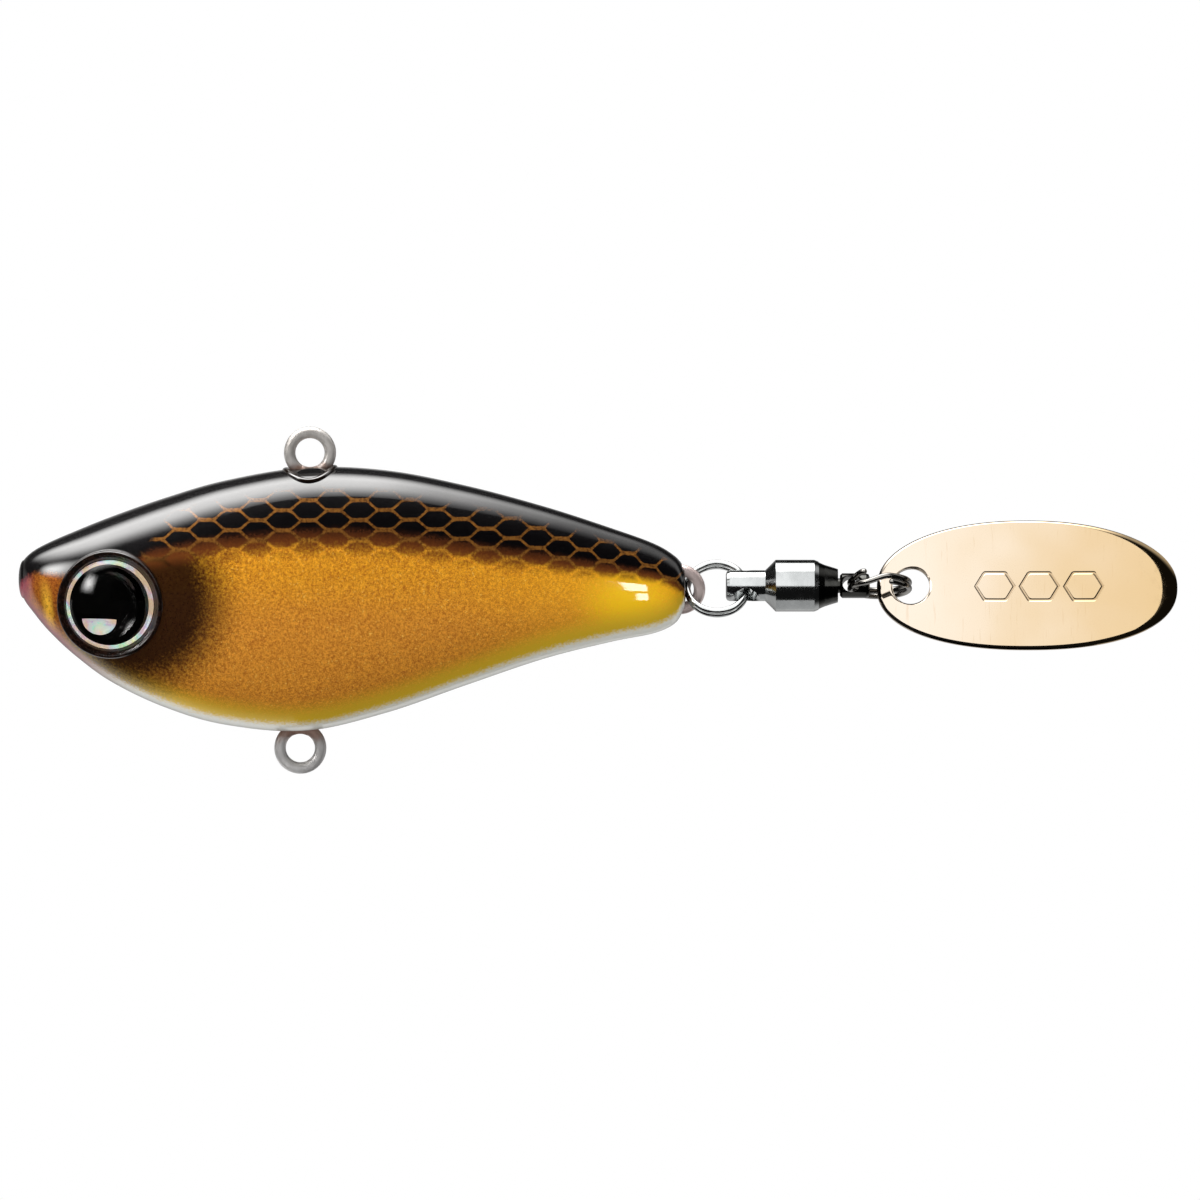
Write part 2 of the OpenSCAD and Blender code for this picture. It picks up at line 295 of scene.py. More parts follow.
SEAM_DIP = 0.025  # the two shells' edges dip here to show the seam
EYE_AT, EYE_TOE = (-13.3, 4.15, -9.9), 11
EYE_R, FOIL_T, PUPIL_R, DOME_H = 3.0, 0.25, 2.68, 1.1
SEAT_R, SEAT_FLOOR = 3.28, -0.4  # sunk seat behind the eye, in the eye's own frame
# Depth of the scale print below the back: [x, mm]
PRINT_DEPTH = [
    [-20, 3.0], [-12, 3.7], [-9, 4.2], [-4, 5.0], [0, 5.35], [6, 5.2], [12.5, 4.6],
    [18, 3.6], [21, 2.9], [25.2, 1.9],
]  # fmt: skip


def spline(table, t):
    """Catmull-Rom through the rows of a table; t counts rows."""
    i = min(int(t), len(table) - 2)
    f = t - i
    a, b = table[max(i - 1, 0)], table[i]
    c, d = table[i + 1], table[min(i + 2, len(table) - 1)]
    return 0.5 * (
        2 * b
        + (c - a) * f
        + (2 * a - 5 * b + 4 * c - d) * f * f
        + (3 * b - a - 3 * c + d) * f**3
    )


def bulge(v):
    return np.sign(v) * abs(v) ** (2 / SQUARENESS)


def body_stations():
    table = np.array(OUTLINE, float)
    out = []
    for n in range((len(OUTLINE) - 1) * RINGS_EACH + 1):
        along, back, belly, width = spline(table, n / RINGS_EACH)
        out.append(
            [
                along / 100 * BODY_LEN - NOSE_REACH,
                (back / 100 - 1) * BODY_DEPTH - BACK_DROP,
                (belly / 100 - 1) * BODY_DEPTH - BACK_DROP,
                width / 200 * BODY_WIDTH,
            ]
        )
    nose, tail = out[RINGS_EACH], out[-1]

    def closing(end, way, depth, scales):
        """Shrinking copies of an end station that round it off."""
        made = []
        x, top, bottom, half = end
        middle, reach = (top + bottom) / 2, (top - bottom) / 2
        for s in scales:
            shift = way * depth * sqrt(1 - s * s)
            made.append([x + shift, middle + s * reach, middle - s * reach, s * half])
        return made

    front = closing(nose, -1, NOSE_ROUND, (0.02, 0.15, 0.3, 0.45, 0.6, 0.75, 0.87, 0.96))
    rear = closing(tail, 1, TAIL_ROUND, (0.98, 0.94, 0.85, 0.7, 0.5, 0.25, 0.02))
    return np.array(front + out[RINGS_EACH:] + rear)


STATIONS = body_stations()


def body_half_at(x):
    """Top, bottom and half width of the body at x."""
    return [np.interp(x, STATIONS[:, 0], STATIONS[:, k]) for k in (1, 2, 3)]


def back_point(x, y):
    """The point of the back above (x, y)."""
    top, bottom, half = body_half_at(x)
    rise = (1 - min(abs(y / half), 0.999) ** SQUARENESS) ** (1 / SQUARENESS)
    return Vector((x, y, (top + bottom) / 2 + (top - bottom) / 2 * rise))


def eye_frame():
    """Local +Z looks out of the left eye, local +Y up."""
    x, y, z = EYE_AT
    return (
        Matrix.Translation((x, -y, z))
        @ Matrix.Rotation(radians(-EYE_TOE), 4, "Z")
        @ Matrix.Rotation(radians(90), 4, "X")
    )


EYE = eye_frame()


def left_shell_mesh():
    """The left shell's outside, its seam face, and the sunk seat that the eye rim covers."""
    to_eye = EYE.inverted()
    points, zones, places = [], [], []
    for x, top, bottom, half in STATIONS:
        for j in range(SECTION + 1):
            a = radians(-90 + 180 * j / SECTION)
            side = half * bulge(max(cos(a), 0.0))
            z = (top + bottom) / 2 + (top - bottom) / 2 * bulge(sin(a))
            if j in (0, SECTION):
                side = 0.0
                z += SEAM_DIP if j == 0 else -SEAM_DIP
            p = Vector((x, -side, z))
            depth = np.interp(x, *zip(*PRINT_DEPTH))
            places.append((x, z))
            zones.append(((top - z) / depth, z - bottom))
            local = to_eye @ p
            if hypot(local.x, local.y) < SEAT_R and local.z > -1:
                p = EYE @ Vector((local.x, local.y, SEAT_FLOOR))
            points.append(tuple(p))
    rows, columns = len(STATIONS), SECTION + 1
    faces = [tuple(reversed(f)) for f in skin(rows, columns, loop_columns=False)]
    for i in range(rows - 1):
        a, b = i * columns, (i + 1) * columns
        faces.append((a, a + SECTION, b + SECTION, b))
    for start, turn in ((0, 1), ((rows - 1) * columns, -1)):
        faces.append(tuple(range(start, start + columns))[::turn])
    return points, faces, {"place": places, "zone": zones}


# ---------------------------------------------------------------- body paint

COLUMN, PITCH = 1.705, 1.295  # scale print: between columns, and down one column
SCALE_W, SCALE_FLAT = 2.45, 0.96
FLAT_LINE, SLANT_LINE = 0.11, 0.06


def scale_cells(g, u, w):
    """How far a point is inside its printed scale, in mm; above 0 is on the gold lines."""
    lean = (SCALE_W - SCALE_FLAT) / PITCH
    steep = sqrt(1 + lean * lean)

    def lattice(shift_u, shift_w):
        x = g.math("FLOORED_MODULO", g.add(u, shift_u + COLUMN), 2 * COLUMN)
        z = g.math("FLOORED_MODULO", g.add(w, shift_w + PITCH / 2), PITCH)
        x, z = g.size(g.sub(x, COLUMN)), g.size(g.sub(z, PITCH / 2))
        flat = g.add(z, FLAT_LINE - PITCH / 2)
        slant = g.add(x, g.mul(z, lean))
        slant = g.add(g.mul(slant, 1 / steep), SLANT_LINE - SCALE_W / 2 / steep)
        return g.math("SMOOTH_MAX", flat, slant, 0.18)

    return g.least(lattice(1.72, 4.24), lattice(1.72 + COLUMN, 4.24 + PITCH / 2))


def body_paint():
    made, g, shader = material("body_paint")
    u, w = g.uv("place")
    q, belly = g.uv("zone")
    x, _, z = g.xyz()
    fine = g.noise(16000.0, 2.0, 0.7)
    speck = g.noise(5200.0, 3.0, 0.75)
    cloud = g.noise(260.0, 3.0, 0.55)

    # Foil-gold flank: flake speckle, browner low down and yellow at the tail, with a painted
    # yellow sheen round the tail's highlights
    flake = g.ramp(g.add(g.mul(fine, 0.5), g.mul(speck, 0.5)), 0.36, 0.64)
    flank = g.mix(flake, linear(180, 98, 30), linear(252, 182, 44))
    down = g.add(q, g.mul(g.sub(cloud, 0.5), 0.4))
    brown = g.mix(flake, linear(176, 100, 36), linear(240, 166, 56))
    flank = g.mix(g.ramp(down, 1.15, 2.0), flank, brown)
    fleck = g.ramp(g.noise(6400.0, 1.0, 0.5), 0.66, 0.76)
    flank = g.mix(g.mul(fleck, 0.55), flank, linear(255, 214, 96))
    pit = g.ramp(g.noise(6100.0, 2.0, 0.6), 0.34, 0.26)
    flank = g.mix(g.mul(pit, 0.5), flank, linear(118, 62, 16))
    tail = g.ramp(g.add(u, g.mul(cloud, 3)), 10.0, 25.0)
    flank = g.mix(g.mul(tail, 0.4), flank, linear(255, 188, 30))
    # Painted highlight: a bright yellow sheen painted round the spot where the tail mirrors its
    # cards
    gx, gz = g.mul(g.sub(u, 21.6), 0.75), g.sub(w, -10.0)
    painted_tail_sheen = g.math("SQRT", g.add(g.mul(gx, gx), g.mul(gz, gz)))
    painted_tail_sheen = g.ramp(g.add(painted_tail_sheen, g.mul(g.sub(speck, 0.5), 4.0)), 3.2, 0.2)
    flank = g.mix(g.mul(painted_tail_sheen, 0.85), flank, linear(255, 206, 30))
    # Olive-yellow fade, then pearl, along the belly
    low = g.add(belly, g.mul(g.sub(speck, 0.5), 0.9))
    flank = g.mix(g.ramp(low, 2.6, 0.7), flank, linear(228, 190, 50))
    pearl = g.mul(g.ramp(low, 1.0, 0.4), g.ramp(x, -17.0, -11.0))
    # Brown airbrush round the eye
    ex = g.sub(x, EYE_AT[0] + 1.5)
    ez = g.sub(z, EYE_AT[2] + 0.3)
    away = g.math("SQRT", g.add(g.mul(ex, ex), g.mul(ez, ez)))
    away = g.add(away, g.mul(g.sub(speck, 0.5), 3.0))
    brush = g.ramp(away, 8.0, 4.1)
    flank = g.mix(g.mul(brush, 0.97), flank, linear(36, 15, 8))
    # Nose: rust, with a painted gold reflection streak ahead of the eye, and plum along the chin
    # Painted reflection: a gold streak painted where the nose mirrors the soft box on the left
    nose = g.bell(g.add(x, g.mul(g.add(z, 10.0), 0.14)), -17.6, 0.55)
    nose = g.mul(nose, g.bell(z, -10.2, 2.4))
    nose = g.mul(nose, g.ramp(speck, 0.25, 0.55))
    snout = g.ramp(x, -15.6, -17.2)
    rust = g.mix(flake, linear(112, 52, 20), linear(178, 100, 34))
    flank = g.mix(g.mul(snout, 0.9), flank, rust)
    # Lay on the painted gold reflection streak
    flank = g.mix(g.mul(nose, 0.9), flank, linear(255, 196, 62))
    chin = g.mul(g.ramp(x, -9.5, -15.5), g.ramp(belly, 1.1, 0.2))
    chin = g.most(chin, g.ramp(x, -18.3, -19.3))
    flank = g.mix(g.mul(chin, 0.85), flank, linear(146, 58, 84))
    skin_colour = g.mix(pearl, flank, linear(222, 222, 214))

    # Scale print over it: black cells that turn brown and fade out downwards
    warp = g.most(g.sub(u, 14.0), 0.0)
    warp = g.mul(warp, warp)
    cell = scale_cells(
        g, g.add(u, g.mul(warp, 0.0125)), g.add(w, g.mul(warp, 0.0085))
    )
    cell = g.add(cell, g.mul(g.sub(speck, 0.5), 0.07))
    edge = g.add(q, g.mul(g.sub(speck, 0.5), 0.16))
    soft = g.ramp(q, 0.6, 1.1, 0.03, 0.16)
    inside = g.ramp(g.math("DIVIDE", g.add(cell, g.mul(soft, 0.4)), soft), 1.0, -1.0)
    row = g.ramp(edge, 0.94, 0.66)
    inked = g.mul(inside, g.ramp(edge, 1.16, 0.82))
    ink = g.mix(row, linear(104, 54, 22), linear(5, 4, 5))
    lines = g.mix(g.ramp(speck, 0.3, 0.62), linear(70, 42, 16), linear(126, 82, 34))
    lines = g.mix(g.ramp(edge, 0.8, 1.02), lines, skin_colour)
    printed = g.mix(inked, lines, ink)
    band = g.ramp(edge, 1.24, 1.0)
    ahead = g.ramp(g.add(u, g.mul(speck, 0.8)), -12.4, -10.6)
    band = g.mul(band, ahead)
    colour = g.mix(band, skin_colour, printed)
    # Solid black back above the print, and over the nose
    back_edge = g.ramp(u, -12.0, -9.0, g.ramp(u, -19.6, -14.5, 0.45, 0.92), 0.3)
    back = g.ramp(g.sub(edge, back_edge), 0.12, -0.13)
    colour = g.mix(back, colour, linear(8, 7, 8))

    dark = g.most(g.mul(inked, g.mul(band, row)), back)
    g.put(shader.inputs["Base Color"], colour)
    shine = g.mul(g.sub(1.0, dark), g.sub(1.0, g.mul(pearl, 0.8)))
    g.put(shader.inputs["Metallic"], g.mul(shine, 0.4))
    shader.inputs["Specular IOR Level"].default_value = 0.05
    g.put(shader.inputs["Roughness"], g.ramp(speck, 0.3, 0.7, 0.34, 0.52))
    shader.inputs["Coat Weight"].default_value = 1.0
    shader.inputs["Coat IOR"].default_value = 1.56
    shader.inputs["Coat Roughness"].default_value = 0.035
    g.put(shader.inputs["Normal"], g.bump(fine, 0.25, 0.00004))
    ripple = g.bump(g.noise(900.0, 1.0), 0.06, 0.00003)
    g.put(shader.inputs["Coat Normal"], ripple)
    return made


def rim_paint():
    made, g, shader = material("eye_rim_lacquer")
    tone = g.ramp(g.noise(2400.0, 3.0, 0.6), 0.35, 0.7)
    g.put(shader.inputs["Base Color"], g.mix(tone, linear(10, 7, 6), linear(34, 18, 12)))
    g.put(shader.inputs["Roughness"], g.ramp(tone, 0.0, 1.0, 0.3, 0.4))
    shader.inputs["Specular IOR Level"].default_value = 0.1
    shader.inputs["Coat Weight"].default_value = 1.0
    shader.inputs["Coat Roughness"].default_value = 0.05
    g.put(shader.inputs["Coat Normal"], g.bump(tone, 0.04, 0.00002))
    return made


def foil_film():
    """Pressed rainbow foil: the hue drifts round the ring in fine facets, and the foil glows
    faintly as a painted sparkle.
    """
    made, g, shader = material("eye_foil_film_painted_glow")
    drift = g.noise(520.0, 2.0, 0.6)
    facet = g.noise(3600.0, 1.0, 0.5)
    hue = g.math("FRACT", g.add(g.mul(drift, 3.2), g.mul(facet, 0.35)))
    hsv = g.node("ShaderNodeCombineColor", mode="HSV")
    g.put(hsv.inputs[0], hue)
    g.put(hsv.inputs[1], g.ramp(facet, 0.3, 0.7, 0.1, 0.45))
    hsv.inputs[2].default_value = 1.0
    warm = g.mix(g.ramp(drift, 0.35, 0.6), hsv.outputs[0], linear(236, 208, 172))
    g.put(shader.inputs["Base Color"], warm)
    # Painted glow: the foil gives off a little light of its own in place of its holographic
    # sparkle
    g.put(shader.inputs["Emission Color"], warm)
    shader.inputs["Emission Strength"].default_value = 0.55
    shader.inputs["Metallic"].default_value = 0.1
    g.put(shader.inputs["Roughness"], g.ramp(facet, 0.3, 0.7, 0.25, 0.5))
    g.put(shader.inputs["Normal"], g.bump(facet, 0.3, 0.00003))
    return made


def pupil_ink():
    made, g, shader = material("eye_pupil_ink")
    tone = g.noise(1800.0, 2.0, 0.6)
    g.put(shader.inputs["Base Color"], g.mix(tone, linear(3, 3, 3), linear(12, 9, 8)))
    g.put(shader.inputs["Roughness"], g.ramp(tone, 0.3, 0.7, 0.3, 0.45))
    shader.inputs["Specular IOR Level"].default_value = 0.0
    g.put(shader.inputs["Normal"], g.bump(tone, 0.05, 0.00001))
    return made


def clear_dome():
    made, g, shader = material("eye_dome_epoxy")
    dust = g.noise(5200.0, 3.0, 0.7)
    tint = g.mix(g.ramp(dust, 0.55, 0.8), (1, 1, 1), (0.94, 0.92, 0.88))
    g.put(shader.inputs["Base Color"], tint)
    shader.inputs["Transmission Weight"].default_value = 1.0
    shader.inputs["IOR"].default_value = 1.52
    g.put(shader.inputs["Roughness"], g.ramp(dust, 0.62, 0.85, 0.0, 0.06))
    g.put(shader.inputs["Normal"], g.bump(g.noise(500.0, 1.0), 0.02, 0.00002))
    return made


def lacquer():
    made, g, shader = material("tie_lacquer")
    tone = g.noise(1500.0, 3.0, 0.6)
    g.put(shader.inputs["Base Color"], g.mix(tone, linear(6, 5, 5), linear(30, 18, 10)))
    g.put(shader.inputs["Roughness"], g.ramp(tone, 0.3, 0.7, 0.12, 0.24))
    shader.inputs["Coat Weight"].default_value = 1.0
    g.put(shader.inputs["Normal"], g.bump(tone, 0.1, 0.00003))
    return made


def eye_wire(name, base, bright, stain_lo, stain_hi):
    """Stainless wire, drawn and bent: lacquer stains where it enters the body."""
    made, g, shader = metal(name, base, bright, 0.4, wear=0.16, bumps=0.06)
    shader.inputs["Metallic"].default_value = 0.6
    z = g.xyz()[2]
    depth = g.add(z, g.mul(g.sub(g.noise(1900.0, 3.0), 0.5), 0.9))
    stain = g.ramp(depth, stain_lo, stain_hi)
    colour = shader.inputs["Base Color"].links[0].from_socket
    g.put(
        shader.inputs["Base Color"],
        g.mix(g.mul(stain, 0.75), colour, linear(120, 66, 24)),
    )
    return made


STAMPS, STAMP_HALF, STAMP_SLANT = (46.2, 49.2, 52.2), 0.95, 1.11
LEAN_STRETCH = 1.064  # height on the leaning blade over height in the world


def gold_plate():
    """Gold plate, painted lighter cream towards the hole's end as a painted reflection, with a
    stamped row of three plain scales.
    """
    made, g, shader = material("blade_gold")
    x, _, z = g.xyz()
    cloud = g.noise(180.0, 2.0, 0.5)
    scratch = g.noise(5200.0, 2.0, 0.6, stretch=(1, 0.08, 0.08))
    # Painted reflection: the plate goes from cream at the hole's end to gold towards the tail,
    # standing in for the white it mirrors
    tone = g.ramp(g.add(g.mul(x, 0.04), g.mul(cloud, 0.5)), 1.75, 2.6)
    gold = g.mix(tone, linear(170, 160, 147), linear(156, 134, 99))
    gold = g.mix(g.mul(g.ramp(scratch, 0.62, 0.8), 0.25), gold, linear(132, 104, 62))
    up = g.mul(g.sub(z, CHAIN_Z), LEAN_STRETCH)
    stamp = None
    for centre in STAMPS:
        out = g.size(g.sub(x, centre))
        tall = g.size(up)
        slant = g.add(g.mul(g.add(out, g.mul(tall, 0.6)), 0.857), -STAMP_SLANT)
        ring = g.math("SMOOTH_MAX", g.add(tall, -STAMP_HALF), slant, 0.2)
        line = g.ramp(g.size(ring), 0.03, 0.13, 1.0, 0.0)
        stamp = line if stamp is None else g.most(stamp, line)
    gold = g.mix(g.mul(stamp, 0.35), gold, linear(96, 70, 38))
    g.put(shader.inputs["Base Color"], gold)
    shader.inputs["Metallic"].default_value = 1.0
    haze = g.ramp(g.noise(1400.0, 3.0, 0.7), 0.4, 0.8, 0.035, 0.11)
    g.put(shader.inputs["Roughness"], haze)
    press = g.bump(g.mul(stamp, -1.0), 0.7, 0.00006)
    fine = g.bump(scratch, 0.03, 0.00001)
    g.put(fine.node.inputs["Normal"], press)
    g.put(shader.inputs["Normal"], fine)
    return made


# ---------------------------------------------------------------- body pieces

paint, rim = body_paint(), rim_paint()
film, ink, dome_clear = foil_film(), pupil_ink(), clear_dome()
BODY = "body"


def both_sides(label, points, faces, paint, nodes, uvs=None, sharp=None):
    """The same piece on the left and, mirrored, on the right."""
    for side in ("left", "right"):
        shape = (points, faces) if side == "left" else mirrored(points, faces)
        named = [f"{side}_{n}" for n in nodes]
        slot = named[0]
        make(f"{side}_{label}", *shape, paint, BODY, slot, named, uvs, sharp)


points, faces, layers = left_shell_mesh()
both_sides("shell_skin", points, faces, paint, ["shell"], layers)

RIM_PROFILE = [
    (3.04, -0.6), (3.04, 0.02), (3.07, 0.10), (3.14, 0.17), (3.24, 0.24), (3.33, 0.32),
    (3.40, 0.41), (3.46, 0.46), (3.53, 0.46), (3.59, 0.40), (3.63, 0.30), (3.66, 0.12),
    (3.69, -0.2), (3.72, -1.3), (3.04, -1.3), (3.04, -0.6),
]  # fmt: skip
points, faces = lathe(RIM_PROFILE)
both_sides("eye_rim", placed(points, EYE), faces, rim, ["shell"])


def arc(radius, top, edge_r, count):
    """Profile of a cap of a sphere from its rim to its top."""
    made = []
    for i in range(count + 1):
        r = edge_r * (1 - i / count)
        made.append((r, top - radius + sqrt(radius * radius - r * r)))
    return made


points, faces = lathe(
    [(0, 0), (EYE_R - 0.1, 0), (EYE_R - 0.02, 0.03), (EYE_R - 0.02, FOIL_T - 0.03),
     (EYE_R - 0.04, FOIL_T - 0.005), (PUPIL_R, FOIL_T - 0.005), (0, FOIL_T - 0.02)]
)  # fmt: skip
both_sides("eye_foil_ring", placed(points, EYE), faces, film, ["eye_foil"], None, 40)
points, faces = lathe(
    [(0, 0.16), (PUPIL_R - 0.03, 0.16), (PUPIL_R, 0.19), (PUPIL_R - 0.01, FOIL_T - 0.002),
     (0, FOIL_T - 0.002)]
)  # fmt: skip
both_sides("eye_pupil_disc", placed(points, EYE), faces, ink, ["eye_pupil"], None, 40)

DOME_R = (EYE_R**2 + DOME_H**2) / (2 * DOME_H)
dome_profile = [(0, FOIL_T + 0.004), (EYE_R - 0.06, FOIL_T + 0.004)]
dome_profile += arc(DOME_R, FOIL_T + DOME_H, EYE_R - 0.01, 40)[:-1]
dome_profile += [(0, FOIL_T + DOME_H)]
points, faces = lathe(dome_profile, 128)
both_sides(
    "eye_dome_cap", placed(points, EYE), faces, dome_clear, ["eye_dome"], None, 60
)

# Foil left bare in the pupil print: flat above, round below
WINDOW_AT, WINDOW_HALF, WINDOW_DROP = (-0.62, -0.92), 1.12, 1.0
WINDOW_RISE, WINDOW_SIDES = 0.06, 40
edge = []
for i in range(WINDOW_SIDES):
    a = 2 * pi * i / WINDOW_SIDES
    drop = WINDOW_DROP if sin(a) < 0 else WINDOW_RISE
    edge.append((WINDOW_HALF * cos(a), drop * sin(a)))
points = [(WINDOW_AT[0], WINDOW_AT[1] - 0.3, FOIL_T + 0.001)]
points += [(WINDOW_AT[0] + px, WINDOW_AT[1] + pz, FOIL_T + 0.001) for px, pz in edge]
faces = [(0, 1 + i, 1 + (i + 1) % WINDOW_SIDES) for i in range(WINDOW_SIDES)]
both_sides("eye_foil_window", placed(points, EYE), faces, film, ["eye_foil"])

# Bead of lacquer round the line tie
BEAD_HALF_X, BEAD_HALF_Y, BEAD_R, BEAD_FLATNESS = 1.62, 2.35, 0.24, 0.6
BEAD_STEPS, BEAD_SIDES = 96, 10
bead = [
    back_point(BEAD_HALF_X * cos(a), BEAD_HALF_Y * sin(a))
    for a in np.linspace(0, 2 * pi, BEAD_STEPS + 1)[:-1]
]
points = []
for i, at in enumerate(bead):
    along = (bead[(i + 1) % BEAD_STEPS] - bead[i - 1]).normalized()
    up = Vector((0, 0, 1))
    side = along.cross(up).normalized()
    up = side.cross(along)
    for k in range(BEAD_SIDES):
        a = 2 * pi * k / BEAD_SIDES
        out = side * cos(a) + up * sin(a) * BEAD_FLATNESS
        points.append(tuple(at + BEAD_R * out))
make(
    "tie_lacquer_bead", points, skin(BEAD_STEPS, BEAD_SIDES, loop_rows=True), lacquer(), BODY,
    "line_tie", ["left_shell"],
)  # fmt: skip

# ---------------------------------------------------------------- rings and blade

RING_MID, WIRE_R, COIL_GAP = 1.99, 0.2, 0.01
SLIM, WIRE_SIDES, WIRE_STEPS = 0.985, 20, 330  # the drawn wire clears its twin turn
# Degrees along the wire: its end, where it crosses over, and its last, sprung stretch
WIRE_END, CROSS_FROM, CROSS_TO, SPRING = 692, 335, 385, 40
CHAIN_Z = -9.0


def ease(t):
    return t * t * (3 - 2 * t)


def split_ring(name, at, tilt, split_at, lift, paint, body, node):
    """Two turns of wire side by side that cross over at the split."""
    turn = Matrix.Translation(at) @ Matrix.Rotation(radians(90 - tilt), 4, "X")
    first, step = 720 - WIRE_END, WIRE_R + COIL_GAP / 2
    path = []
    for a in np.linspace(first, WIRE_END, WIRE_STEPS):
        if a < CROSS_FROM:
            height = -step
        elif a > CROSS_TO:
            height = step
        else:
            t = (a - CROSS_FROM) / (CROSS_TO - CROSS_FROM)
            height = step * (2 * ease(t) - 1)
        if a > WIRE_END - SPRING:
            height += lift * ease((a - WIRE_END + SPRING) / SPRING)
        b = radians(a + split_at)
        path.append(Vector((RING_MID * cos(b), RING_MID * sin(b), height)))
    points, faces = tube(path, WIRE_R * SLIM, WIRE_SIDES, Vector((0, 0, 0)))
    make(name, placed(points, turn), faces, paint, body, node, [node])


nickel = metal(
    "ring_nickel", linear(146, 148, 147), linear(176, 178, 177), 0.15, wear=0.1
)[0]
smoke = metal(
    "ring_black_nickel", linear(92, 90, 86), linear(126, 124, 120), 0.15, wear=0.1
)[0]
split_ring(
    "front_split_ring_wire", (27.45, 0, CHAIN_Z - 0.2), 40, 22, 0, nickel,
    "front_ring", "front_split_ring",
)  # fmt: skip
split_ring(
    "rear_split_ring_wire", (38.42, 0, CHAIN_Z), 110, -95, 0.35, smoke,
    "rear_ring", "rear_split_ring",
)  # fmt: skip

BLADE_TIP, BLADE_LEN, BLADE_W, BLADE_T, BLADE_LEAN = 38.25, 20.3, 9.0, 0.5, 20
BLADE_HOLE_X, BLADE_HOLE_R, BLADE_DOME, BLADE_POWER = 40.55, 1.25, 60.0, 2.2
BLADE_CROWN = 0.3  # the dome's top stands this far in front of the chain's axis
# Rolled edges: how far they turn down and how wide they are, wider at the tail
EDGE_ROLL, EDGE_WIDE, EDGE_WIDER = 0.17, 0.55, 0.25
HOLE_ROLL, HOLE_WIDE = 0.10, 0.3


def blade_mesh():
    """Domed sheet between its hole and its outline, both edges rolled."""
    half_l, half_w = BLADE_LEN / 2, BLADE_W / 2
    hole_x = BLADE_HOLE_X - BLADE_TIP - half_l
    around, across = 240, 36

    def dome(x, y, radius):
        top = BLADE_T / 2 + BLADE_CROWN
        return top - BLADE_DOME + sqrt(radius * radius - x * x - y * y)

    def point(t, a):
        edge_x = half_l * np.sign(cos(a)) * abs(cos(a)) ** (2 / BLADE_POWER)
        edge_y = half_w * np.sign(sin(a)) * abs(sin(a)) ** (2 / BLADE_POWER)
        start_x, start_y = hole_x + BLADE_HOLE_R * cos(a), BLADE_HOLE_R * sin(a)
        x, y = start_x + (edge_x - start_x) * t, start_y + (edge_y - start_y) * t
        length = hypot(edge_x - start_x, edge_y - start_y)
        return x, y, (1 - t) * length, t * length

    steps = [0.5 - 0.5 * cos(pi * i / across) for i in range(across + 1)]
    rows = []
    for upper in (True, False):
        ordered = steps if upper else steps[::-1]
        for t in ordered:
            row = []
            for j in range(around):
                a = 2 * pi * (j + 0.5) / around
                x, y, outer, inner = point(t, a)
                width = EDGE_WIDE + EDGE_WIDER * (x / half_l)
                roll = EDGE_ROLL * max(0.0, 1 - outer / width) ** 2
                roll += HOLE_ROLL * max(0.0, 1 - inner / HOLE_WIDE) ** 2
                if upper:
                    z = dome(x, y, BLADE_DOME) - roll
                else:
                    z = dome(x, y, BLADE_DOME - BLADE_T) + 0.5 * roll
                row.append((x, y, z))
            rows.append(row)
    points = [p for row in rows for p in row]
    faces = skin(len(rows), around, loop_rows=True)
    turn = (
        Matrix.Translation((BLADE_TIP + half_l, 0, CHAIN_Z))
        @ Matrix.Rotation(radians(90 - BLADE_LEAN), 4, "X")
    )
    return placed(points, turn), faces


points, faces = blade_mesh()
make(
    "blade_plate", points, faces, gold_plate(), "blade", "blade", ["blade"], sharp=50
)

# ---------------------------------------------------------------- CAD nodes that stay

bright = metal(
    "swivel_nickel", linear(136, 138, 138), linear(156, 158, 158), 0.13, wear=0.09
)[0]
black_cap = metal(
    "swivel_black_nickel", linear(34, 34, 32), linear(62, 62, 60), 0.14, wear=0.1
)[0]
steel = metal("race_steel", linear(130, 132, 134), linear(190, 192, 194), 0.2)[0]
lead = metal(
    "weight_lead", linear(70, 72, 76), linear(118, 120, 124), 0.45, wear=0.2, bumps=0.2
)[0]
finishes = {
    "line_tie": eye_wire(
        "tie_wire", linear(168, 163, 158), linear(214, 210, 206), -0.5, -1.2
    ),
    "belly_hanger": eye_wire(
        "belly_wire", linear(168, 166, 165), linear(214, 212, 211), -19.9, -18.9
    ),
    "tail_hanger": eye_wire(
        "tail_wire", linear(186, 166, 162), linear(222, 206, 202), -12.0, -14.0
    ),
    "swivel_body": bright,
    "swivel_cap": black_cap,
    "swivel_shaft": black_cap,
    "swivel_washer": steel,
    "swivel_balls": steel,
    "belly_weight": lead,
}
for name, finish in finishes.items():
    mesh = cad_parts[name].data
    mesh.materials.clear()
    mesh.materials.append(finish)

# ---------------------------------------------------------------- studio


